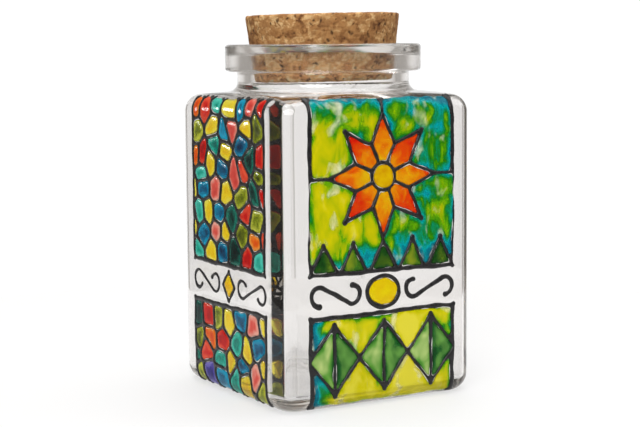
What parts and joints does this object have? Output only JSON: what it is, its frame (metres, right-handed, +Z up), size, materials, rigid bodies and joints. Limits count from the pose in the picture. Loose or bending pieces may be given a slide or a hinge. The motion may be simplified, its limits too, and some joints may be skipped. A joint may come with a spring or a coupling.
{
  "type": "cork-stoppered glass jar",
  "caption": "Square clear glass storage jar with a round lipped mouth, a tapered cork stopper, and outlined glass paint on its front and one side.",
  "frame": {"origin": "centre of the base, on the surface the jar stands on", "axes": "+Z up through the mouth, the painted front faces -Y and the mosaic side faces -X"},
  "size_m": [0.0808, 0.0808, 0.1361],
  "materials": {
    "clear_glass": "clear, fire-polished",
    "cork": "agglomerated cork, sanded",
    "outline_paste": "satin black relief paste",
    "lozenge_dark_paint": "glossy translucent glass paint",
    "lozenge_ground_paint": "glossy translucent glass paint",
    "lozenge_light_paint": "glossy translucent glass paint",
    "mosaic_blue_paint": "glossy translucent glass paint",
    "mosaic_coral_paint": "glossy translucent glass paint",
    "mosaic_olive_paint": "glossy translucent glass paint",
    "mosaic_orange_paint": "glossy translucent glass paint",
    "mosaic_pine_paint": "glossy translucent glass paint",
    "mosaic_red_paint": "glossy translucent glass paint",
    "mosaic_turquoise_paint": "glossy translucent glass paint",
    "mosaic_violet_paint": "glossy translucent glass paint",
    "mosaic_yellow_paint": "glossy translucent glass paint",
    "peak_dark_paint": "glossy translucent glass paint",
    "peak_light_paint": "glossy translucent glass paint",
    "roundel_paint": "glossy translucent glass paint",
    "side_lozenge_paint": "glossy translucent glass paint",
    "star_ground_green_paint": "glossy translucent glass paint",
    "star_ground_lime_paint": "glossy translucent glass paint",
    "star_heart_paint": "glossy translucent glass paint",
    "star_orange_paint": "glossy translucent glass paint",
    "star_red_paint": "glossy translucent glass paint"
  },
  "bodies": {
    "jar": {"front_lower_outline": "outline_paste", "front_scroll_outline": "outline_paste", "front_upper_outline": "outline_paste", "glass_jar": "clear_glass", "lozenge_dark_paint": "lozenge_dark_paint", "lozenge_ground_paint": "lozenge_ground_paint", "lozenge_light_paint": "lozenge_light_paint", "mosaic_blue_paint": "mosaic_blue_paint", "mosaic_coral_paint": "mosaic_coral_paint", "mosaic_olive_paint": "mosaic_olive_paint", "mosaic_orange_paint": "mosaic_orange_paint", "mosaic_pine_paint": "mosaic_pine_paint", "mosaic_red_paint": "mosaic_red_paint", "mosaic_turquoise_paint": "mosaic_turquoise_paint", "mosaic_violet_paint": "mosaic_violet_paint", "mosaic_yellow_paint": "mosaic_yellow_paint", "peak_dark_paint": "peak_dark_paint", "peak_light_paint": "peak_light_paint", "roundel_paint": "roundel_paint", "side_lower_outline": "outline_paste", "side_lozenge_paint": "side_lozenge_paint", "side_scroll_outline": "outline_paste", "side_upper_outline": "outline_paste", "star_ground_green_paint": "star_ground_green_paint", "star_ground_lime_paint": "star_ground_lime_paint", "star_heart_paint": "star_heart_paint", "star_orange_paint": "star_orange_paint", "star_red_paint": "star_red_paint"},
    "stopper": {"cork_stopper": "cork"}
  },
  "joints": [
    {"name": "stopper_lift", "type": "slide", "parent": "jar", "child": "stopper", "axis": [0, 0, 1], "range_m": [0, 0.05]}
  ]
}
